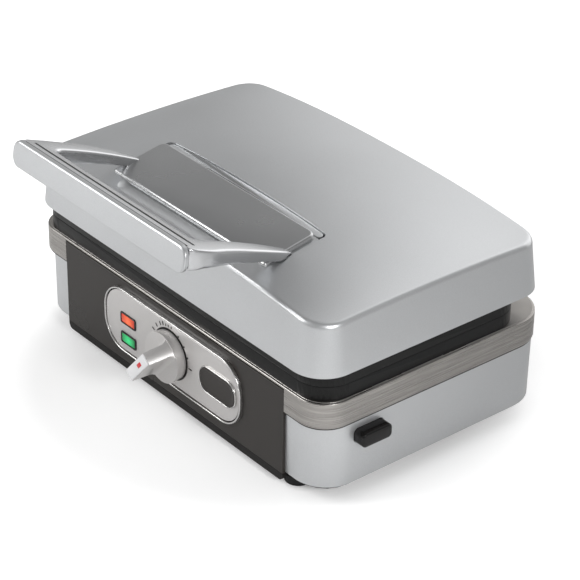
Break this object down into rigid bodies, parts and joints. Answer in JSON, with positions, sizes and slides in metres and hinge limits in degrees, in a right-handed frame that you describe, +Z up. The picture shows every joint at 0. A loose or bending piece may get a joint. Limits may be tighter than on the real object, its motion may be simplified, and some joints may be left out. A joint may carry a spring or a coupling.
{
  "type": "contact grill",
  "caption": "Table-top contact grill with a hinged crowned lid, a hoop handle, two cooking plates, a thermostat knob and plate release buttons.",
  "frame": {"origin": "middle of the bounding box in plan, at table level", "axes": "+X to the right of someone in front of the grill, +Y to the hinges at the back, +Z up"},
  "size_m": [0.359, 0.2852, 0.1991],
  "materials": {
    "silver_paint": "satin silver paint",
    "silver_plastic": "satin silver lacquer on plastic",
    "polished_trim": "bright trim",
    "brushed_steel": "brushed along the band",
    "panel_black": "smooth dark panel",
    "black_plastic": "moulded, fine grain",
    "gloss_black": "glossy moulding",
    "cast_black": "cast, with a dark non-stick coat",
    "zinc_steel": "zinc-coated sheet",
    "element_steel": "drawn steel",
    "rubber": "matt rubber",
    "ceramic": "cream insulating moulding",
    "red_lens": "tinted lamp lens",
    "green_lens": "tinted lamp lens",
    "white_plastic": "white inlay",
    "red_plastic": "red mark"
  },
  "bodies": {
    "base": {"base_tray": "black_plastic", "side_cover_right": "silver_paint", "side_cover_left": "silver_paint", "front_panel": "panel_black", "rear_panel": "black_plastic", "cord_gland": "rubber", "steel_deck": "brushed_steel", "lower_plate": "cast_black", "lower_element": "element_steel", "lower_reflector": "zinc_steel", "thermal_fuse": "ceramic", "terminal_block": "ceramic", "thermostat_body": "zinc_steel", "escutcheon": "silver_plastic", "escutcheon_bezel": "polished_trim", "lamp_lens_red": "red_lens", "lamp_lens_green": "green_lens", "lamp_holder_red": "ceramic", "lamp_holder_green": "ceramic", "badge_plate": "panel_black", "badge_ring": "polished_trim", "hinge_bracket_right": "zinc_steel", "hinge_bracket_left": "zinc_steel", "hinge_pin_right": "zinc_steel", "hinge_pin_left": "zinc_steel", "foot_1": "rubber", "foot_2": "rubber", "foot_3": "rubber", "foot_4": "rubber", "foot_screw_1": "zinc_steel", "foot_screw_2": "zinc_steel", "foot_screw_3": "zinc_steel", "foot_screw_4": "zinc_steel", "lower_spring": "element_steel"},
    "lid": {"lid_cover": "silver_paint", "handle_frame": "silver_paint", "handle_face": "silver_paint", "handle_screw_left": "zinc_steel", "handle_screw_right": "zinc_steel", "lid_frame": "zinc_steel", "upper_plate": "cast_black", "upper_element": "element_steel", "upper_reflector": "zinc_steel", "hinge_arm_right": "zinc_steel", "hinge_arm_left": "zinc_steel", "upper_spring": "element_steel"},
    "knob": {"control_knob": "silver_plastic", "knob_cap": "white_plastic", "knob_pointer": "red_plastic", "thermostat_shaft": "zinc_steel"},
    "lower_release": {"lower_release_button": "gloss_black", "lower_plate_latch": "zinc_steel"},
    "upper_release": {"upper_release_button": "gloss_black", "upper_plate_latch": "zinc_steel"}
  },
  "joints": [
    {"name": "lid_hinge", "type": "hinge", "parent": "base", "child": "lid", "pos_m": [0, 0.126, 0.098], "axis": [-1, 0, 0], "range_deg": [0, 100]},
    {"name": "knob_turn", "type": "hinge", "parent": "base", "child": "knob", "pos_m": [0.00375, -0.0816, 0.0485], "axis": [0, -1, 0], "range_deg": [-65, 165]},
    {"name": "lower_release_press", "type": "slide", "parent": "base", "child": "lower_release", "axis": [-1, 0, 0], "range_m": [0, 0.004], "stiffness_N_per_m": 800, "springref_m": -0.002, "deforming": ["lower_spring"]},
    {"name": "upper_release_press", "type": "slide", "parent": "lid", "child": "upper_release", "axis": [1, 0, 0], "range_m": [0, 0.004], "stiffness_N_per_m": 800, "springref_m": -0.002, "deforming": ["upper_spring"]}
  ]
}
